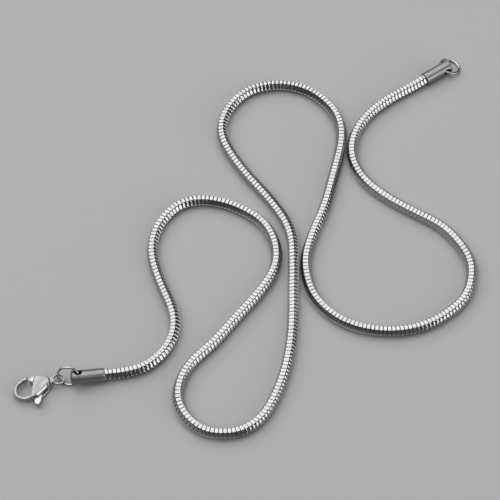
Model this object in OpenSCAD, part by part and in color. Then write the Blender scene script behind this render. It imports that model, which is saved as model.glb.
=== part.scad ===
// Round snake chain necklace, 610 mm long, lying open on a flat surface.
// Millimetres, +Z up. The surface is Z = 0 and the origin is the middle of the whole part's
// footprint. +X runs to the right and +Y runs away from the viewer.

/* [Chain] */
// Outer diameter of the chain
chain_d = 3.2; // [3:0.05:3.25]
// Flat sides of the plain tube that stands for the chain
chain_sides = 12; // [10:2:12]

/* [End caps] */
// Outer diameter of an end cap
cap_d = 3.9; // [3.85:0.05:4.1]
// Length of an end cap
cap_len = 9.2; // [9.1:0.1:9.8]
// Diameter of the socket that takes the chain
socket_d = 3.4; // [3.35:0.05:3.5]
// Depth of the socket
socket_depth = 5.5; // [5.4:0.1:6]
// Chamfer on both ends of a cap
cap_chamfer = 0.2; // [0.1:0.05:0.25]
// Diameter of the cross hole for the jump ring
cross_hole_d = 2.2; // [2.15:0.05:2.3]
// From the middle of the cross hole to the closed end
cross_hole_in = 1.75; // [1.7:0.05:1.8]

/* [Jump rings] */
// Outer diameter of a jump ring
ring_d = 6.7; // [6.65:0.05:6.75]
// Thickness of its wire
ring_wire = 0.75; // [0.65:0.05:0.8]
// Width of the split where the wire's ends meet
ring_split = 0.06; // [0.04:0.01:0.1]

/* [Clasp body] */
// Thickness of the clasp
clasp_h = 2.9; // [2.8:0.1:3.2]
// Height of the bevel round the top face
top_bevel = 0.4; // [0.2:0.05:0.6]
// Width of the hook, seen from above
hook_w = 1; // [0.8:0.05:1.05]
// Height of the hook
hook_h = 1.7; // [1.5:0.1:1.9]
// Outer diameter of the small eye
eye_d = 3.6; // [3.5:0.1:3.7]
// Diameter of the hole in the eye
eye_hole_d = 2.5; // [2.5:0.05:2.6]
// Thickness of the eye
eye_h = 0.9; // [0.7:0.1:0.9]
// Height of the slot that the lever turns in
slot_h = 1; // [0.9:0.05:1.1]
// Diameter of the pivot pin
pin_d = 1.2; // [1.1:0.05:1.25]

/* [Clasp lever] */
// Thickness of the lever inside the slot
lever_h = 0.8; // [0.7:0.05:0.8]
// Height of the thumb tab
tab_h = 1.5; // [1.2:0.1:1.6]
// Play between the pin and the lever, measured on the radius
pin_play = 0.05; // [0.03:0.01:0.1]

/* [Hidden] */
$fn = 64;

steel = "silver";
cast_steel = "gainsboro";
lever_steel = "lightgray";
through = 20;
sliver = 0.01;

chain_r = chain_d / 2;
cap_r = cap_d / 2;
socket_end = 5.2;
ring_r = (ring_d - ring_wire) / 2;
hole_x = cap_len - cross_hole_in;

// Where each cap's open end sits, the way the cap points, and how steeply it climbs
clasp_cap_at = [-40.2, -46, 2];
clasp_cap_turn = 192;
clasp_cap_rise = 8.8;
clasp_hole_lean = 22;
tail_cap_at = [53.1, 57.95, 1.95];
tail_cap_turn = 35;
tail_hole_lean = 90;

// The jump ring at the clasp stands on the surface and leans back, and the other one lies almost flat
clasp_ring_turn = -9;
clasp_ring_tilt = 68;
clasp_ring_reach = 2.6;
clasp_ring_split_at = -60;
tail_ring_dip = 17;
tail_ring_reach = 2.35;
tail_ring_split_at = 72;

clasp_at = [-58.2, -49.8, 0];
clasp_turn = 13.6;

// The chain's route on the surface, from the clasp's cap to the other cap, as [x, y]
route_xy = [
    [-34, -45], [-28.5, -43], [-23.5, -38], [-21, -31.5], [-21.5, -24.5], [-25, -15.5],
    [-27.5, -7], [-27.5, 0], [-25, 6.5], [-20.5, 11.5], [-14.5, 13.5], [-7.5, 12.5],
    [-1, 9.5], [4, 5.5], [7, 0], [8, -6], [7, -11.5], [3, -18.5],
    [-3.5, -27], [-10, -35.5], [-16, -42], [-19, -48], [-19.5, -54], [-17, -59.5],
    [-12.5, -63.5], [-7, -64.5], [-1.5, -63.5], [3.5, -59.5], [6.5, -54.5], [9.5, -46.5],
    [11.5, -37.5], [12.4, -27.5], [12.6, -17.5], [12.8, -8], [12.5, 0], [10.5, 6.5],
    [6, 14], [0, 22], [-4.5, 29], [-7.5, 35.5], [-8, 41.5], [-5.5, 48],
    [-1, 53], [4.5, 55.5], [11, 56], [17.5, 54], [22.5, 50], [26, 45],
    [27.5, 39], [27, 32], [24.5, 21], [22, 11], [18.5, 1.5], [16.5, -6],
    [16.5, -12], [18, -18.5], [21.5, -24], [27, -28.5], [34, -31], [42, -31.5],
    [50, -29.5], [57, -25], [61.5, -20], [63.5, -14], [63.5, -8], [60.5, -1.5],
    [55.5, 4.5], [48.5, 9], [41, 14], [35, 19.5], [31.5, 25.5], [30.5, 32],
    [32, 38.5], [36, 45], [42, 50.5], [49.8, 55.7]
];

// The unit vector that a turn and a rise point along
function heading(turn, rise = 0) = [cos(turn) * cos(rise), sin(turn) * cos(rise), sin(rise)];

// Both ends of the chain stand straight in their sockets
route = concat(
    [clasp_cap_at + socket_end * heading(clasp_cap_turn, clasp_cap_rise), clasp_cap_at],
    [for (p = route_xy) [p[0], p[1], chain_r]],
    [tail_cap_at, tail_cap_at + socket_end * heading(tail_cap_turn)]
);

// Centres of the two jump rings, worked out from the cross holes that they hang in
clasp_hole_at = clasp_cap_at + hole_x * heading(clasp_cap_turn, clasp_cap_rise);
clasp_ring_at = clasp_hole_at - clasp_ring_reach * heading(clasp_ring_turn);
tail_hole_at = tail_cap_at + hole_x * heading(tail_cap_turn);
tail_ring_at = tail_hole_at + tail_ring_reach * heading(tail_cap_turn, -tail_ring_dip);

// The clasp is drawn about its pivot, with +X towards the eye and the hook on the other side
foot_outline = [
    [-0.4, 3.1], [1.3, 3.1], [2.7, 2.7], [3.6, 1.9], [3.9, 0.7], [3.5, -0.6],
    [2, -2], [0.7, -3], [-0.3, -3.3], [-1.6, -3.2], [-2.4, -2.8]
];
bevel_outline = [
    [-0.4, 2.9], [1.2, 2.9], [2.75, 2.5], [3.4, 1.6], [3.5, 0.5], [2.4, -0.8],
    [1.1, -1.8], [-0.2, -2.7], [-0.9, -3.1], [-2.4, -2.8]
];
top_outline = [
    [-0.4, 2.7], [1.1, 2.6], [2.6, 2.2], [3, 1.3], [3, 0.4], [1.7, -0.8],
    [0, -2.1], [-0.8, -2.7], [-2.4, -2.7]
];
slot_outline = [
    [-0.15, 4.2], [0.95, 0.9], [1.3, -0.2], [3, -1.4], [3, -7],
    [-1.75, -7], [-1.75, -1.75], [-4, -1.75], [-4, 4.2]
];
hook_path = [
    [-2.5, 3.2], [-3.6, 3.1], [-4.7, 2.7], [-5.7, 1.85], [-6.3, 0.75], [-6.5, -0.4],
    [-6.2, -1.5], [-5.4, -2.3], [-4.3, -2.75], [-3.1, -2.7], [-1.9, -2.3]
];
hook_steps = 3;
eye_at = [5.85, 1.15];
neck_outline = [[2.6, 0.1], [4.8, 0.4], [4.8, 1.7], [2.6, 2]];
neck_h = 1.6;
eye_mid = 1.75;

lever_web = [
    [-1.05, 0.9], [-1.2, -2.4], [-1.5, -3.7], [-0.4, -3.9], [0.25, -3.3], [0.9, -0.7],
    [0.75, 0.7], [-0.4, 3], [-1.3, 3.1], [-1.9, 2.5]
];
gate_outline = [[-0.6, 3.4], [-1.15, 3.35], [-1.7, 3.1], [-2.15, 2.8], [-2, 2.2], [-1.15, 1.7]];
tab_outline = [
    [0.05, -3.6], [-1.45, -3.6], [-1.9, -4.2], [-1.85, -5], [-1.25, -5.6], [-0.4, -5],
    [-0.05, -4.3]
];

// One point of a smooth curve through b and c, at t from 0 to 1
function curve_point(a, b, c, d, t) =
    0.5 * (2 * b + (c - a) * t + (2 * a - 5 * b + 4 * c - d) * t * t
    + (3 * b - a - 3 * c + d) * t * t * t);

// A smooth curve through every point of a path
function smooth_path(path, steps) = concat(
    [for (i = [0:len(path) - 2], k = [0:steps - 1])
        curve_point(path[max(i - 1, 0)], path[i], path[i + 1],
            path[min(i + 2, len(path) - 1)], k / steps)],
    [path[len(path) - 1]]
);

// The direction of a path at one of its points
function along(path, i) =
    let (d = path[min(i + 1, len(path) - 1)] - path[max(i - 1, 0)]) d / norm(d);

// One edge of a band of a given width that follows a flat path
function band_edge(path, offset) = [
    for (i = [0:len(path) - 1])
        let (d = along(path, i)) path[i] + offset * [-d[1], d[0]]
];

// The closed outline of that band
function band_outline(path, width) = concat(
    band_edge(path, width / 2),
    [for (i = [len(path) - 1:-1:0]) band_edge(path, -width / 2)[i]]
);

// One ring of points around a route, square to the route
function ring_points(path, i, r, sides) =
    let (
        d = along(path, i),
        across = [-d[1], d[0], 0] / norm([d[0], d[1]]),
        up = cross(d, across)
    )
    [for (k = [0:sides - 1])
        path[i] + r * (cos(360 * k / sides) * across + sin(360 * k / sides) * up)];

// A closed tube swept along a route, with one ring at each of the route's points
module swept_tube(path, r, sides) {
    rings = len(path);
    points = [for (i = [0:rings - 1]) each ring_points(path, i, r, sides)];
    walls = [
        for (i = [0:rings - 2], k = [0:sides - 1])
            [i * sides + k, (i + 1) * sides + k,
                (i + 1) * sides + (k + 1) % sides, i * sides + (k + 1) % sides]
    ];
    first_end = [for (k = [0:sides - 1]) k];
    last_end = [for (k = [sides - 1:-1:0]) (rings - 1) * sides + k];
    polyhedron(points, concat(walls, [first_end, last_end]), convexity = 20);
}

// A slab of an outline, from one height up to another
module slab(outline, low, high) {
    translate([0, 0, low])
        linear_extrude(high - low)
            polygon(outline);
}

// A cap in its own place: the open end at the origin and the closed end along +X
module end_cap(hole_lean) {
    difference() {
        rotate([0, 90, 0])
            rotate_extrude()
                polygon([
                    [0, 0], [cap_r - cap_chamfer, 0], [cap_r, cap_chamfer],
                    [cap_r, cap_len - cap_chamfer], [cap_r - cap_chamfer, cap_len], [0, cap_len]
                ]);
        translate([-1, 0, 0])
            rotate([0, 90, 0])
                cylinder(h = socket_depth + 1, d = socket_d);
        translate([hole_x, 0, 0])
            rotate([hole_lean, 0, 0])
                cylinder(h = through, d = cross_hole_d, center = true);
    }
}

// A ring of round wire, split at an angle from its own +X
module jump_ring(split_at) {
    split = ring_split / ring_r * 180 / PI;
    rotate([0, 0, split_at + split / 2])
        rotate_extrude(angle = 360 - split)
            translate([ring_r, 0])
                circle(d = ring_wire, $fn = 32);
}

module snake_chain() {
    color(steel)
        swept_tube(route, chain_r, chain_sides);
}

module clasp_end_cap() {
    color(steel)
        translate(clasp_cap_at)
            rotate([0, -clasp_cap_rise, clasp_cap_turn])
                end_cap(clasp_hole_lean);
}

module tail_end_cap() {
    color(steel)
        translate(tail_cap_at)
            rotate([0, 0, tail_cap_turn])
                end_cap(tail_hole_lean);
}

module clasp_jump_ring() {
    color(steel)
        translate(clasp_ring_at)
            rotate([clasp_ring_tilt, 0, clasp_ring_turn])
                jump_ring(clasp_ring_split_at);
}

module tail_jump_ring() {
    color(steel)
        translate(tail_ring_at)
            rotate([0, tail_ring_dip, tail_cap_turn])
                jump_ring(tail_ring_split_at);
}

// The two plates of the clasp and the wall between them, with the slot cut for the lever
module plates() {
    slot_low = (clasp_h - slot_h) / 2;
    difference() {
        hull() {
            slab(foot_outline, 0, sliver);
            slab(bevel_outline, clasp_h - top_bevel - sliver, clasp_h - top_bevel);
            slab(top_outline, clasp_h - sliver, clasp_h);
        }
        slab(slot_outline, slot_low, slot_low + slot_h);
    }
}

module hook() {
    slab(band_outline(smooth_path(hook_path, hook_steps), hook_w),
        (clasp_h - hook_h) / 2, (clasp_h + hook_h) / 2);
}

module eye() {
    translate([eye_at[0], eye_at[1], eye_mid - eye_h / 2])
        cylinder(h = eye_h, d = eye_d);
    slab(neck_outline, eye_mid - neck_h / 2, eye_mid + neck_h / 2);
}

module clasp_body() {
    color(cast_steel)
        translate(clasp_at)
            rotate([0, 0, clasp_turn]) {
                difference() {
                    union() {
                        plates();
                        hook();
                        eye();
                    }
                    translate([eye_at[0], eye_at[1], 0])
                        cylinder(h = through, d = eye_hole_d, center = true);
                }
                translate([0, 0, 0.5])
                    cylinder(h = clasp_h - 1, d = pin_d);
            }
}

module clasp_lever() {
    mid = clasp_h / 2;
    color(lever_steel)
        translate(clasp_at)
            rotate([0, 0, clasp_turn])
                difference() {
                    union() {
                        slab(lever_web, mid - lever_h / 2, mid + lever_h / 2);
                        slab(gate_outline, mid - hook_h / 2, mid + hook_h / 2);
                        slab(tab_outline, mid - tab_h / 2, mid + tab_h / 2);
                    }
                    cylinder(h = through, d = pin_d + 2 * pin_play, center = true);
                }
}

snake_chain();
clasp_end_cap();
tail_end_cap();
clasp_jump_ring();
tail_jump_ring();
clasp_body();
clasp_lever();
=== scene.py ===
"""Looks for the round snake chain necklace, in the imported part's frame.

The caps, rings and clasp are drawn in millimetres, each about an origin of its own, and are set
down in metres. The chain's links are drawn where they lie.
"""

import math

import bmesh
import bpy
import numpy as np
from mathutils import Matrix, Vector


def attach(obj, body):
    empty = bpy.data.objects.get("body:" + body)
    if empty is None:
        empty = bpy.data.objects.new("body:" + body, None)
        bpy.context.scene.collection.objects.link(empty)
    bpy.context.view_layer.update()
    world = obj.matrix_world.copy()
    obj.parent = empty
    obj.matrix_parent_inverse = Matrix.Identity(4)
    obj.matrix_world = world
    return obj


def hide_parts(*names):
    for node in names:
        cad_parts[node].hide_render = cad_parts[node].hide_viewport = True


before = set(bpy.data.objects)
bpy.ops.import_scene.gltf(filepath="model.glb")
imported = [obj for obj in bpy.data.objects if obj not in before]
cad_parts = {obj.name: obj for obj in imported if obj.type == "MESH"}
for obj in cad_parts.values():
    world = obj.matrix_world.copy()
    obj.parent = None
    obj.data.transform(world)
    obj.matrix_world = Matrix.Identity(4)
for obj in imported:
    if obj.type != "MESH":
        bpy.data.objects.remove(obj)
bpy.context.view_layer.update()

MM = 0.001
UP = Vector((0, 0, 1))

# ---------------------------------------------------------------- sizes, in mm and degrees
CHAIN_R = 1.6
LINK_PITCH = 1.186
ROWS = 6  # rows of scales round the chain
ROW_STAGGER = 0.25  # how far each row is shifted along, to and fro by turns, in pitches
SEAM_SHARE = 0.11  # share of a row's width that the slanted seam beside it takes
SEAM_DEPTH = 0.14
SCALE_FLATNESS = 0.12  # how far a scale's middle lies below the round
OUTSIDE_DEPTH = 0.35  # scales and seams show on what lies less deep than this

# One link cut lengthwise: how far along its pitch, and how far below the chain's outside
LINK_SECTION = [
    (-0.16, 0.42),
    (0.00, 0.18),
    (0.03, 0.10),
    (0.18, 0.00),
    (0.83, 0.00),
    (0.96, 0.10),
    (0.98, 0.19),
    (0.10, 0.52),
]

# The links' slow twist, in degrees at even steps along the chain
TWIST_STEP = 40
TWIST = [-2, -20, -8, 8, 7, -6, -15, -25, -12, 0, 10, -1, -9, -12, -6, -15]

CAP_R, CAP_LEN = 1.95, 9.2
CAP_EDGE = 0.2  # radius of the rounding at both ends
SOCKET_R, SOCKET_DEPTH = 1.7, 5.5
CHAIN_IN = 5.2  # how far the chain's middle line runs into a cap
CLASP_CAP_AT, CLASP_CAP_TURN, CLASP_CAP_RISE = Vector((-40.2, -46, 2)), 192, 8.8
TAIL_CAP_AT, TAIL_CAP_TURN = Vector((53.1, 57.95, 1.95)), 35

# A cap's cross hole: its radius, how far it is from the closed end, and how it leans
HOLE_R, HOLE_IN = 1.1, 1.75
CLASP_HOLE_LEAN, TAIL_HOLE_LEAN = 22, 90
# The drill for it, wider at both ends to break the hole's edges: how far out, and its radius
DRILL = [(-4, 1.7), (-2, 1.3), (-1.45, HOLE_R), (1.45, HOLE_R), (2, 1.3), (4, 1.7)]

RING_R, WIRE_R = 2.975, 0.375
SPLIT, SPLIT_EDGE = 0.06, 0.05  # the gap between a ring's ends, and their bevel
CLASP_RING_TURN, CLASP_RING_TILT, CLASP_RING_REACH, CLASP_SPLIT_AT = -9, 68, 2.6, -60
TAIL_RING_DIP, TAIL_RING_REACH, TAIL_SPLIT_AT = 17, 2.35, 72

CLASP_AT, CLASP_TURN = Vector((-58.2, -49.8, 0)), 13.6
CLASP_H, TOP_BEVEL, SLOT_H = 2.9, 0.4, 1.0
HOOK_W, HOOK_H = 1.0, 1.7
HOOK_TIP, HOOK_GROWTH = 0.7, 0.15  # share of its full section at its tip, and gained each step
EYE_AT, EYE_MID, EYE_R, EYE_HOLE_R, EYE_H = (5.85, 1.15), 1.75, 1.8, 1.25, 0.9
NECK_H, NECK_CLEARANCE = 1.6, 0.1  # the neck stays this far off the eye's hole
PIN_R, PIN_PLAY, PIN_INSET = 0.6, 0.05, 0.5  # the pin's ends lie this deep in the plates
LEVER_H, TAB_H = 0.8, 1.5
THROUGH = (-1, 4)  # bottom and top of what cuts right through the clasp
CAST_VOXEL, CAST_PASSES = 0.056, 5  # how finely castings are melted, and how often softened

# The chain's route on the surface, the same points as the part's
ROUTE_XY = [
    (-34, -45), (-28.5, -43), (-23.5, -38), (-21, -31.5), (-21.5, -24.5), (-25, -15.5),
    (-27.5, -7), (-27.5, 0), (-25, 6.5), (-20.5, 11.5), (-14.5, 13.5), (-7.5, 12.5),
    (-1, 9.5), (4, 5.5), (7, 0), (8, -6), (7, -11.5), (3, -18.5),
    (-3.5, -27), (-10, -35.5), (-16, -42), (-19, -48), (-19.5, -54), (-17, -59.5),
    (-12.5, -63.5), (-7, -64.5), (-1.5, -63.5), (3.5, -59.5), (6.5, -54.5), (9.5, -46.5),
    (11.5, -37.5), (12.4, -27.5), (12.6, -17.5), (12.8, -8), (12.5, 0), (10.5, 6.5),
    (6, 14), (0, 22), (-4.5, 29), (-7.5, 35.5), (-8, 41.5), (-5.5, 48),
    (-1, 53), (4.5, 55.5), (11, 56), (17.5, 54), (22.5, 50), (26, 45),
    (27.5, 39), (27, 32), (24.5, 21), (22, 11), (18.5, 1.5), (16.5, -6),
    (16.5, -12), (18, -18.5), (21.5, -24), (27, -28.5), (34, -31), (42, -31.5),
    (50, -29.5), (57, -25), (61.5, -20), (63.5, -14), (63.5, -8), (60.5, -1.5),
    (55.5, 4.5), (48.5, 9), (41, 14), (35, 19.5), (31.5, 25.5), (30.5, 32),
    (32, 38.5), (36, 45), (42, 50.5), (49.8, 55.7),
]
LINE_STEP = 0.2  # between the points of the chain's middle line
LINE_SOFT, LINE_REACH = 1.6, 4  # width and half length of the bell curve that smooths it

# The clasp seen from above, about its pivot, with +X towards the eye. The plates have three
# outlines: on the ground, where their top edge starts to slope in, and on top.
FOOT = [
    (-0.4, 3.1), (1.3, 3.1), (2.7, 2.7), (3.6, 1.9), (3.9, 0.7), (3.5, -0.6),
    (2, -2), (0.7, -3), (-0.3, -3.3), (-1.6, -3.2), (-2.4, -2.8),
]
BEVEL = [
    (-0.4, 2.9), (1.2, 2.9), (2.75, 2.5), (3.4, 1.6), (3.5, 0.5), (2.4, -0.8),
    (1.1, -1.8), (-0.2, -2.7), (-0.9, -3.1), (-2.4, -2.8),
]
TOP = [
    (-0.4, 2.7), (1.1, 2.6), (2.6, 2.2), (3, 1.3), (3, 0.4), (1.7, -0.8),
    (0, -2.1), (-0.8, -2.7), (-2.4, -2.7),
]
SLOT = [
    (-0.15, 4.2), (0.95, 0.9), (1.3, -0.2), (3, -1.4), (3, -7),
    (-1.75, -7), (-1.75, -1.75), (-4, -1.75), (-4, 4.2),
]
HOOK = [
    (-2.5, 3.2), (-3.6, 3.1), (-4.7, 2.7), (-5.7, 1.85), (-6.3, 0.75), (-6.5, -0.4),
    (-6.2, -1.5), (-5.4, -2.3), (-4.3, -2.75), (-3.1, -2.7), (-1.9, -2.3),
]
NECK = [(2.6, 0.1), (4.8, 0.4), (4.8, 1.7), (2.6, 2)]
WEB = [
    (-1.05, 0.9), (-1.2, -2.4), (-1.5, -3.7), (-0.4, -3.9), (0.25, -3.3), (0.9, -0.7),
    (0.75, 0.7), (-0.4, 3), (-1.3, 3.1), (-1.9, 2.5),
]
GATE = [(-0.6, 3.4), (-1.15, 3.35), (-1.7, 3.1), (-2.15, 2.8), (-2, 2.2), (-1.15, 1.7)]
TAB = [
    (0.05, -3.6), (-1.45, -3.6), (-1.9, -4.2), (-1.85, -5), (-1.25, -5.6), (-0.4, -5),
    (-0.05, -4.3),
]


def heading(turn, rise=0.0):
    """The unit vector that a turn and a rise point along."""
    t, r = math.radians(turn), math.radians(rise)
    return Vector((math.cos(t) * math.cos(r), math.sin(t) * math.cos(r), math.sin(r)))


def turned(angle, axis):
    return Matrix.Rotation(math.radians(angle), 4, axis)


def full_turn(sides):
    """Angles at even steps round a circle."""
    return np.linspace(0, 2 * math.pi, sides, endpoint=False)


# ---------------------------------------------------------------- materials
# tone of the painted shade in the chain's seams and between its links, and inside the caps' sockets
HOLLOW_SHADE_TONE = (0.012, 0.012, 0.013)
BLOTCH_SIZE, BLOTCH_TONE = 1.6, 0.86  # in mm, and the share of the colour that is left
BRUSH_TURN = 42  # the way that the clasp's plates are brushed, in its own frame
BRUSH_WIDTH, BRUSH_STRETCH, BRUSH_TONE = 0.28, 14, 0.6  # in mm, times as long, share left


def fill(node, **values):
    """Set a shader node up: small letters name its settings, and capitals its sockets.

    A socket that is given another node's output is linked to it.
    """
    for key, value in values.items():
        if key[0].islower():
            setattr(node, key, value)
            continue
        socket = node.inputs[key.replace("_", " ")]
        if isinstance(value, bpy.types.NodeSocket):
            node.id_data.links.new(value, socket)
        else:
            socket.default_value = value
    return node.outputs


def steel(name, color, rough, grain_mm, relief_mm, stretch=(1, 1, 1), hollow_shade=None, satin=None):
    """Bright steel: fine grain in roughness and bump, faint blotches of handling in the colour.

    grain_mm is the size of the grain and stretch draws it out into lines. A named mesh attribute
    paints shade into the hollows: where it is 1, the colour goes to a near black. With satin, the
    faces that look straight up are brushed: duller, with that roughness, and with darker streaks at
    BRUSH_TURN.
    """
    mat = bpy.data.materials.new(name)
    mat.use_nodes = True
    nodes = mat.node_tree.nodes

    def add(kind, **values):
        return fill(nodes.new("ShaderNode" + kind), **values)

    def noise(vector, size_mm, detail):
        return add("TexNoise", Vector=vector, Scale=1 / (size_mm * MM), Detail=detail)["Fac"]

    def ramp(factor, *stops):
        node = nodes.new("ShaderNodeValToRGB")
        for element, (place, tone) in zip(node.color_ramp.elements, stops):
            element.position, element.color = place, (*tone, 1)
        return fill(node, Fac=factor)["Color"]

    where = add("TexCoord")
    lines = add("Mapping", Vector=where["Object"], Scale=stretch)["Vector"]
    grain = noise(lines, grain_mm, 4.0)
    sheen = add("MapRange", Value=grain, To_Min=rough * 0.75, To_Max=rough * 1.3)["Result"]
    blotch = noise(where["Object"], BLOTCH_SIZE, 3.0)
    base = ramp(blotch, (0.3, [c * BLOTCH_TONE for c in color]), (0.7, color))

    if satin:
        # flat is 1 on faces that lie within 10 degrees of level and 0 on those past 20
        level = add("SeparateXYZ", Vector=where["Normal"])["Z"]
        flat = add("MapRange", Value=level, From_Min=0.94, From_Max=0.985)["Result"]
        turn = (0, 0, math.radians(BRUSH_TURN))
        brush = add(
            "Mapping", vector_type="TEXTURE", Vector=where["Object"],
            Rotation=turn, Scale=(BRUSH_STRETCH, 1, 1),
        )["Vector"]
        streak = noise(brush, BRUSH_WIDTH, 3.0)
        streaks = ramp(streak, (0.38, [BRUSH_TONE] * 3), (0.62, [1] * 3))
        base = add(
            "Mix", data_type="RGBA", blend_type="MULTIPLY", Factor=flat, A=base, B=streaks
        )["Result"]
        sheen = add("Mix", Factor=flat, A=sheen, B=satin)["Result"]

    # painted shade: the colour goes towards a near black where the named attribute is high, in the
    # hollows
    if hollow_shade:
        deep = add("Attribute", attribute_name=hollow_shade)["Fac"]
        base = add("Mix", data_type="RGBA", Factor=deep, A=base, B=(*HOLLOW_SHADE_TONE, 1))["Result"]

    bump = add("Bump", Height=grain, Strength=1.0, Distance=relief_mm * MM)["Normal"]
    fill(nodes["Principled BSDF"], Metallic=1.0, Base_Color=base, Roughness=sheen, Normal=bump)
    return mat


chain_steel = steel(
    "chain_steel", (0.42, 0.42, 0.415), rough=0.16, grain_mm=0.3, relief_mm=0.004, hollow_shade="hollow_shade"
)
cap_steel = steel(
    "cap_steel", (0.25, 0.25, 0.245), rough=0.36, grain_mm=0.12, relief_mm=0.003,
    stretch=(1, 0.06, 0.06), hollow_shade="hollow_shade",
)
ring_steel = steel("ring_steel", (0.46, 0.46, 0.455), rough=0.14, grain_mm=0.3, relief_mm=0.003)
clasp_steel = steel(
    "clasp_steel", (0.4, 0.4, 0.395), rough=0.13, grain_mm=0.2, relief_mm=0.002, satin=0.4
)
lever_steel = steel("lever_steel", (0.46, 0.46, 0.455), rough=0.14, grain_mm=0.3, relief_mm=0.004)


# ---------------------------------------------------------------- building pieces
def new_object(name, data):
    obj = bpy.data.objects.new(name, data)
    bpy.context.scene.collection.objects.link(obj)
    return obj


def finish_piece(mesh, name, mat, body, node, place=Matrix.Identity(4)):
    """Make a mesh in metres into a piece of the part that stands for a CAD node."""
    mesh.polygons.foreach_set("use_smooth", np.ones(len(mesh.polygons), bool))
    mesh.materials.clear()
    mesh.materials.append(mat)
    obj = new_object(name, mesh)
    obj.matrix_world = place
    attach(obj, body)
    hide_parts(node)


def set_down(at, rotation):
    """A place given in mm, as a matrix in metres."""
    return Matrix.Translation(at * MM) @ rotation


def skin(bm, rings, loop=False):
    """Join rings of points with faces. An open run of rings is closed with a face at each end."""
    made = [[bm.verts.new(p) for p in ring] for ring in rings]
    n = len(made[0])
    pairs = list(zip(made, made[1:]))
    if loop:
        pairs.append((made[-1], made[0]))
    for a, b in pairs:
        for k in range(n):
            bm.faces.new((a[k], a[(k + 1) % n], b[(k + 1) % n], b[k]))
    if not loop:
        bm.faces.new(made[0][::-1])
        bm.faces.new(made[-1])


def to_object(bm, name):
    """A scratch object, still in mm, of what a bmesh holds."""
    bmesh.ops.recalc_face_normals(bm, faces=bm.faces)
    mesh = bpy.data.meshes.new(name)
    bm.to_mesh(mesh)
    bm.free()
    return new_object(name, mesh)


def with_modifier(obj, kind, **settings):
    """Apply one modifier to a scratch object."""
    modifier = obj.modifiers.new(kind, kind)
    for key, value in settings.items():
        setattr(modifier, key, value)
    evaluated = obj.evaluated_get(bpy.context.evaluated_depsgraph_get())
    result = bpy.data.meshes.new_from_object(evaluated)
    obj.modifiers.clear()
    obj.data = result


def cut(obj, cutter):
    """Take one scratch object out of another."""
    with_modifier(obj, "BOOLEAN", operation="DIFFERENCE", object=cutter, solver="EXACT")
    bpy.data.objects.remove(cutter)


def take_mesh(obj):
    """The mesh of a scratch object, brought from mm to metres, with the object gone."""
    mesh = obj.data
    mesh.transform(Matrix.Scale(MM, 4))
    bpy.data.objects.remove(obj)
    return mesh


def smooth_curve(points, steps, closed=False):
    """A smooth curve through every point of a path or outline."""
    pts = [Vector(p) for p in points]
    n = len(pts)

    def at(i):
        return pts[i % n] if closed else pts[min(max(i, 0), n - 1)]

    curve = []
    for i in range(n if closed else n - 1):
        a, b, c, d = at(i - 1), at(i), at(i + 1), at(i + 2)
        for k in range(steps):
            t = k / steps
            square = (2 * a - 5 * b + 4 * c - d) * t * t
            cube = (3 * b - a - 3 * c + d) * t**3
            curve.append(0.5 * (2 * b + (c - a) * t + square + cube))
    return curve if closed else curve + [pts[-1]]


def slab(bm, outline, low, high):
    skin(bm, [[(x, y, z) for x, y in outline] for z in (low, high)])


def rod(bm, at, r, low, high):
    circle = [(at[0] + r * math.cos(t), at[1] + r * math.sin(t)) for t in full_turn(64)]
    slab(bm, circle, low, high)


# ---------------------------------------------------------------- the chain
def lengths(line):
    """How far along a line of points each of them lies."""
    steps = np.linalg.norm(np.diff(line, axis=0), axis=1)
    return np.concatenate([[0], np.cumsum(steps)])


def centreline():
    """The chain's middle as smoothed points at even steps, and the distance along it, in mm."""
    into_clasp_cap = heading(CLASP_CAP_TURN, CLASP_CAP_RISE)
    into_tail_cap = heading(TAIL_CAP_TURN)
    knots = [CLASP_CAP_AT + CHAIN_IN * into_clasp_cap, CLASP_CAP_AT]
    knots += [Vector((x, y, CHAIN_R)) for x, y in ROUTE_XY]
    knots += [TAIL_CAP_AT, TAIL_CAP_AT + CHAIN_IN * into_tail_cap]
    curve = np.array(smooth_curve(knots, steps=40))
    far = lengths(curve)
    even = np.linspace(0, far[-1], int(far[-1] / LINE_STEP))
    line = np.stack([np.interp(even, far, curve[:, k]) for k in range(3)], axis=1)

    # the ends run on straight while it is smoothed, so they stay where they are
    reach = int(LINE_REACH / LINE_STEP)
    weights = np.exp(-0.5 * (np.arange(-reach, reach + 1) * LINE_STEP / LINE_SOFT) ** 2)
    weights /= weights.sum()
    run = np.arange(1, reach + 1)[:, None]
    before = line[0] + (line[0] - line[1]) * run[::-1]
    beyond = line[-1] + (line[-1] - line[-2]) * run
    longer = np.vstack([before, line, beyond])
    line = np.stack([np.convolve(longer[:, k], weights, "valid") for k in range(3)], axis=1)
    return line, lengths(line)


def unit(vectors):
    return vectors / np.linalg.norm(vectors, axis=1)[:, None]


def round_a_link():
    """Each scale's edge, middle and other edge, and the middle of the seam beside it.

    Gives their angles, their shifts along the chain in pitches, and their depths.
    """
    row = 2 * math.pi / ROWS
    half = row * (1 - SEAM_SHARE) / 2
    angle, shift, groove = [], [], []
    for j in range(ROWS):
        stagger = ROW_STAGGER if j % 2 else -ROW_STAGGER
        angle += [row * j - half, row * j, row * j + half, row * (j + 0.5)]
        shift += [stagger, stagger, stagger, 0.0]
        groove += [0.0, SCALE_FLATNESS, 0.0, SEAM_DEPTH]
    return np.array(angle), np.array(shift), np.array(groove)


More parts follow.
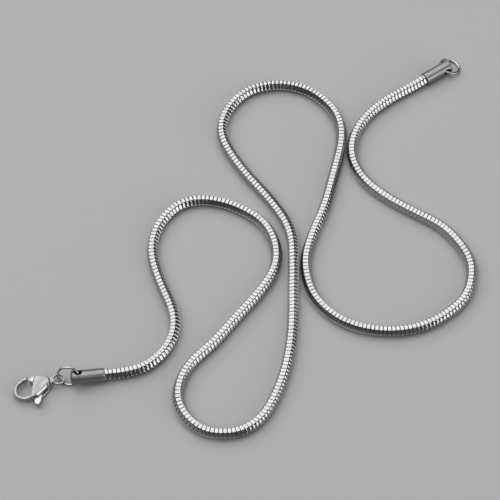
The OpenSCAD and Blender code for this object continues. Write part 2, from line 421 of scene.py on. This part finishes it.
def link_points(angle, along, depth):
    """Every link's points in mm, from their angles, places along the chain and depths.

    Each link is stiff and stands square to the chain at its own middle, so bends open the gaps.
    """
    line, far = centreline()
    ahead = unit(np.gradient(line, axis=0))
    side = unit(np.cross(ahead, (0, 0, 1)))
    above = np.cross(side, ahead)
    count = int(far[-1] / LINK_PITCH) - 1
    middle = (np.arange(count) + 0.5) * LINK_PITCH + (far[-1] - count * LINK_PITCH) / 2
    twist = np.radians(np.interp(middle, np.arange(len(TWIST)) * TWIST_STEP, TWIST))
    turn = (angle + twist[:, None])[:, None, :, None]

    def at_links(values):
        columns = [np.interp(middle, far, values[:, c]) for c in range(3)]
        return np.stack(columns, axis=-1)[:, None, None, :]

    out = np.cos(turn) * at_links(above) + np.sin(turn) * at_links(side)
    points = at_links(line) + along[..., None] * at_links(ahead)
    return points + (CHAIN_R - depth)[..., None] * out


def chain_links():
    """Every link as a closed ring of scales, with its tail tucked into the link behind it."""
    angle, shift, groove = round_a_link()
    along, below = np.array(LINK_SECTION).T[..., None]
    depth = below + groove * (below < OUTSIDE_DEPTH)
    points = link_points(angle, (along - 0.5 + shift) * LINK_PITCH, depth)

    count, n, m = points.shape[:3]
    first = (np.arange(count) * n * m)[:, None, None]
    i, j = np.arange(n)[None, :, None], np.arange(m)[None, None, :]
    i2, j2 = (i + 1) % n, (j + 1) % m
    corners = first + i * m + j, first + i * m + j2, first + i2 * m + j2, first + i2 * m + j
    faces = np.stack(np.broadcast_arrays(*corners), axis=-1).reshape(-1, 4)
    mesh = bpy.data.meshes.new("snake_chain_links")
    mesh.from_pydata((points.reshape(-1, 3) * MM).tolist(), [], faces.tolist())

    # painted shade: the colour darkens in the seams and between the links, where shade falls, and
    # not on the middles of the scales
    flat = np.where(groove == SCALE_FLATNESS, SCALE_FLATNESS, 0)
    unshaded_to, blend = 0.1, 0.05
    painted_shade = np.clip((depth - flat - unshaded_to) / blend, 0, 1).astype(np.float32)
    hollow_shade = mesh.attributes.new("hollow_shade", "FLOAT", "POINT")
    hollow_shade.data.foreach_set("value", np.tile(painted_shade.ravel(), count))

    # the scales are shaded flat, each up to its sharp edges
    chain = new_object("chain", mesh)
    mesh.polygons.foreach_set("use_smooth", np.ones(len(faces), bool))
    mesh.set_sharp_from_angle(angle=math.radians(60))
    with_modifier(chain, "WEIGHTED_NORMAL", mode="FACE_AREA", weight=80, keep_sharp=True)
    mesh = chain.data
    bpy.data.objects.remove(chain)
    return mesh


finish_piece(
    chain_links(), "snake_chain_links", chain_steel, "necklace", "snake_chain"
)


# ---------------------------------------------------------------- the end caps
def end_cap(hole_lean):
    """A cap with its open end at the origin and its closed end along +X, in mm."""
    e, axis_r, touch = CAP_EDGE, 0.02, 0.02
    quarter = np.linspace(0, math.pi / 2, 5)
    rounding = [(e * (1 - math.cos(t)), CAP_R - e * (1 - math.sin(t))) for t in quarter]

    # its outline from the socket's floor to the closed end, with points along both walls
    profile = [(SOCKET_DEPTH, axis_r), (SOCKET_DEPTH, SOCKET_R)]
    profile += [(x, SOCKET_R) for x in (4.0, 2.0, 0.5, 0.06)] + rounding
    profile += [(x, CAP_R) for x in np.arange(0.8, CAP_LEN - 0.5, 0.6)]
    profile += [(CAP_LEN - x, r) for x, r in reversed(rounding)] + [(CAP_LEN, axis_r)]
    turns = full_turn(96)
    bm = bmesh.new()
    skin(bm, [[(x, r * math.cos(t), r * math.sin(t)) for t in turns] for x, r in profile])
    cap = to_object(bm, "cap")

    # the cross hole
    bm = bmesh.new()
    skin(bm, [[(r * math.cos(t), r * math.sin(t), z) for t in turns] for z, r in DRILL])
    drill = to_object(bm, "drill")
    at_hole = Matrix.Translation((CAP_LEN - HOLE_IN, 0, 0))
    drill.data.transform(at_hole @ turned(hole_lean, "X"))
    cut(cap, drill)

    # painted shade: the socket's wall turns dark just inside its mouth, where the chain and the cap
    # shade it
    dark_at = 0.6
    mesh = cap.data
    bm = bmesh.new()
    bm.from_mesh(mesh)
    bmesh.ops.remove_doubles(bm, verts=bm.verts, dist=0.001)
    hollow_shade = bm.verts.layers.float.new("hollow_shade")
    for v in bm.verts:
        r = math.hypot(v.co.y, v.co.z)
        inside = r < SOCKET_R + touch and v.co.x < SOCKET_DEPTH + touch
        v[hollow_shade] = min(v.co.x / dark_at, 1.0) if inside else 0.0
    for edge in bm.edges:
        edge.smooth = len(edge.link_faces) == 2 and edge.calc_face_angle() < math.radians(30)
    bm.to_mesh(mesh)
    bm.free()
    return take_mesh(cap)


clasp_cap_rotation = turned(CLASP_CAP_TURN, "Z") @ turned(-CLASP_CAP_RISE, "Y")
finish_piece(
    end_cap(CLASP_HOLE_LEAN), "clasp_end_cap_turned", cap_steel,
    "necklace", "clasp_end_cap", set_down(CLASP_CAP_AT, clasp_cap_rotation),
)
finish_piece(
    end_cap(TAIL_HOLE_LEAN), "tail_end_cap_turned", cap_steel,
    "necklace", "tail_end_cap", set_down(TAIL_CAP_AT, turned(TAIL_CAP_TURN, "Z")),
)


# ---------------------------------------------------------------- the jump rings
def jump_ring(split_at):
    """A ring of round wire in the XY plane, its two ends almost touching, in mm."""
    gap = SPLIT / RING_R / 2
    ends = [gap, gap + SPLIT_EDGE / RING_R]
    past_ends = 0.04
    turns = ends + list(np.linspace(past_ends, 2 * math.pi - past_ends, 120))
    turns += [2 * math.pi - t for t in reversed(ends)]
    bm = bmesh.new()
    rings = []
    for i, t in enumerate(turns):
        r = WIRE_R - (SPLIT_EDGE if i in (0, len(turns) - 1) else 0)
        t += math.radians(split_at)
        out = Vector((math.cos(t), math.sin(t), 0))
        rings.append([
            RING_R * out + r * (math.cos(u) * out + math.sin(u) * UP) for u in full_turn(24)
        ])
    skin(bm, rings)
    return take_mesh(to_object(bm, "ring"))


hole_along = CAP_LEN - HOLE_IN
clasp_hole = CLASP_CAP_AT + hole_along * heading(CLASP_CAP_TURN, CLASP_CAP_RISE)
clasp_ring_at = clasp_hole - CLASP_RING_REACH * heading(CLASP_RING_TURN)
clasp_ring_rotation = turned(CLASP_RING_TURN, "Z") @ turned(CLASP_RING_TILT, "X")
finish_piece(
    jump_ring(CLASP_SPLIT_AT), "clasp_jump_ring_wire", ring_steel,
    "necklace", "clasp_jump_ring", set_down(clasp_ring_at, clasp_ring_rotation),
)
tail_hole = TAIL_CAP_AT + hole_along * heading(TAIL_CAP_TURN)
tail_ring_at = tail_hole + TAIL_RING_REACH * heading(TAIL_CAP_TURN, -TAIL_RING_DIP)
tail_ring_rotation = turned(TAIL_CAP_TURN, "Z") @ turned(TAIL_RING_DIP, "Y")
finish_piece(
    jump_ring(TAIL_SPLIT_AT), "tail_jump_ring_wire", ring_steel,
    "necklace", "tail_jump_ring", set_down(tail_ring_at, tail_ring_rotation),
)


# ---------------------------------------------------------------- the clasp
def rounded_section(width, height, power=4.0, sides=32):
    """Points of a rounded bar's section, across and up."""
    points = []
    for t in full_turn(sides):
        c, s = math.cos(t), math.sin(t)
        points.append((
            width / 2 * math.copysign(abs(c) ** (2 / power), c),
            height / 2 * math.copysign(abs(s) ** (2 / power), s),
        ))
    return points


def cast(obj):
    """Melt overlapping forms into one skin and soften it, as casting and tumbling do."""
    with_modifier(obj, "REMESH", mode="VOXEL", voxel_size=CAST_VOXEL)
    with_modifier(obj, "SMOOTH", factor=0.5, iterations=CAST_PASSES)
    return take_mesh(obj)


def hull_of(outlines):
    """A closed convex form through outlines at given heights."""
    bm = bmesh.new()
    for z, outline in outlines:
        for x, y in smooth_curve(outline, steps=6, closed=True):
            bm.verts.new((x, y, z))
    made = bmesh.ops.convex_hull(bm, input=bm.verts)
    bmesh.ops.delete(bm, geom=made["geom_interior"], context="VERTS")
    return bm


def add_hook(bm, mid):
    """A rounded bar swept along the hook's path, drawn in at its free end."""
    path = smooth_curve(HOOK, steps=6)
    section = rounded_section(HOOK_W, HOOK_H)
    rings = []
    for i, p in enumerate(path):
        way = (path[min(i + 1, len(path) - 1)] - path[max(i - 1, 0)]).normalized()
        across = Vector((-way.y, way.x, 0))
        grow = min(1.0, HOOK_TIP + HOOK_GROWTH * i)
        centre = Vector((p.x, p.y, mid))
        rings.append([centre + grow * (u * across + w * UP) for u, w in section])
    skin(bm, rings)


def add_eye(bm):
    """A rounded bar bent into a closed ring."""
    eye_r, eye_w = (EYE_R + EYE_HOLE_R) / 2, EYE_R - EYE_HOLE_R
    middle = Vector((*EYE_AT, EYE_MID))
    section = rounded_section(eye_w, EYE_H)
    rings = []
    for t in full_turn(64):
        out = Vector((math.cos(t), math.sin(t), 0))
        rings.append([middle + eye_r * out + u * out + w * UP for u, w in section])
    skin(bm, rings, loop=True)


def clasp_body():
    """Two plates with the lever's slot between them, the hook, the neck and eye, and the pin."""
    mid = CLASP_H / 2
    plates = to_object(hull_of([(0, FOOT), (CLASP_H - TOP_BEVEL, BEVEL), (CLASP_H, TOP)]), "plates")
    bm = bmesh.new()
    slab(bm, SLOT, mid - SLOT_H / 2, mid + SLOT_H / 2)
    cut(plates, to_object(bm, "slot"))
    bm = bmesh.new()
    slab(bm, NECK, EYE_MID - NECK_H / 2, EYE_MID + NECK_H / 2)
    neck = to_object(bm, "neck")
    bm = bmesh.new()
    rod(bm, EYE_AT, EYE_HOLE_R + NECK_CLEARANCE, *THROUGH)
    cut(neck, to_object(bm, "eye_hole"))

    bm = bmesh.new()
    for form in (plates, neck):
        bm.from_mesh(form.data)
        bpy.data.objects.remove(form)
    add_hook(bm, mid)
    add_eye(bm)
    rod(bm, (0, 0), PIN_R, PIN_INSET, CLASP_H - PIN_INSET)
    return cast(to_object(bm, "clasp_body"))


def clasp_lever():
    """A thin web on the pin, with the thumb tab at one end and the gate at the other."""
    mid = CLASP_H / 2
    bm = bmesh.new()
    slab(bm, smooth_curve(WEB, steps=4, closed=True), mid - LEVER_H / 2, mid + LEVER_H / 2)
    web = to_object(bm, "web")
    bm = bmesh.new()
    rod(bm, (0, 0), PIN_R + PIN_PLAY, *THROUGH)
    cut(web, to_object(bm, "pin_hole"))
    bm = bmesh.new()
    bm.from_mesh(web.data)
    bpy.data.objects.remove(web)
    slab(bm, GATE, mid - HOOK_H / 2, mid + HOOK_H / 2)
    slab(bm, smooth_curve(TAB, steps=6, closed=True), mid - TAB_H / 2, mid + TAB_H / 2)
    return cast(to_object(bm, "clasp_lever"))


clasp_place = set_down(CLASP_AT, turned(CLASP_TURN, "Z"))
finish_piece(
    clasp_body(), "clasp_body_cast", clasp_steel,
    "necklace", "clasp_body", clasp_place,
)
finish_piece(
    clasp_lever(), "clasp_lever_cast", lever_steel,
    "lever", "clasp_lever", clasp_place,
)

# ---------------------------------------------------------------- floor, in metres
HALF_FLOOR = 10.0
FLOOR_Z = -0.02 * MM  # just clear of what rests on it
FLOOR_TONE = (0.342, 0.342, 0.347)
corners = [(-1, -1), (1, -1), (1, 1), (-1, 1)]
floor_mesh = bpy.data.meshes.new("floor")
floor_mesh.from_pydata(
    [(x * HALF_FLOOR, y * HALF_FLOOR, FLOOR_Z) for x, y in corners], [], [(0, 1, 2, 3)]
)
floor = new_object("floor", floor_mesh)
paper = bpy.data.materials.new("floor_paper")
paper.use_nodes = True
fill(
    paper.node_tree.nodes["Principled BSDF"],
    Base_Color=(*FLOOR_TONE, 1), Roughness=0.9, Specular_IOR_Level=0.2,
)
floor_mesh.materials.append(paper)

# ---------------------------------------------------------------- light
world = bpy.data.worlds.new("soft_room")
bpy.context.scene.world = world
world.use_nodes = True
fill(world.node_tree.nodes["Background"], Color=(0.95, 0.97, 1, 1), Strength=0.1)


def softbox(name, toward, far, width, height, radiance):
    """A soft light that looks at the part. Its power follows from how bright it looks."""
    data = bpy.data.lights.new(name, "AREA")
    data.shape = "RECTANGLE"
    data.size, data.size_y = width, height
    data.energy = radiance * math.pi * width * height
    lamp = new_object(name, data)
    lamp.visible_camera = False
    lamp.location = far * Vector(toward).normalized()
    lamp.rotation_euler = (-lamp.location).to_track_quat("-Z", "Y").to_euler()


# the key lights every top row of scales, and the other two the rows on their right
softbox("key", (-0.29, 0.27, 0.92), far=0.93, width=2.1, height=1.6, radiance=2.02)
softbox("side", (0.76, -0.48, 0.45), far=0.85, width=0.4, height=0.7, radiance=2.7)
softbox("low", (0.97, -0.1, 0.18), far=0.85, width=0.3, height=0.24, radiance=2.1)
bpy.context.scene.view_settings.view_transform = "Standard"

# ---------------------------------------------------------------- camera, in metres and degrees
CAMERA_TILT = 56.0
CAMERA_FAR = 0.6682
CAMERA_AIM = Vector((0.0003, -0.0029, 0))
camera_data = bpy.data.cameras.new("camera")
camera_data.sensor_width = 36
camera_data.lens = 166.75
camera = new_object("camera", camera_data)
tilt = math.radians(CAMERA_TILT)
camera.location = CAMERA_AIM + CAMERA_FAR * Vector((0, -math.cos(tilt), math.sin(tilt)))
camera.rotation_euler = (math.pi / 2 - tilt, 0, 0)
bpy.context.scene.camera = camera
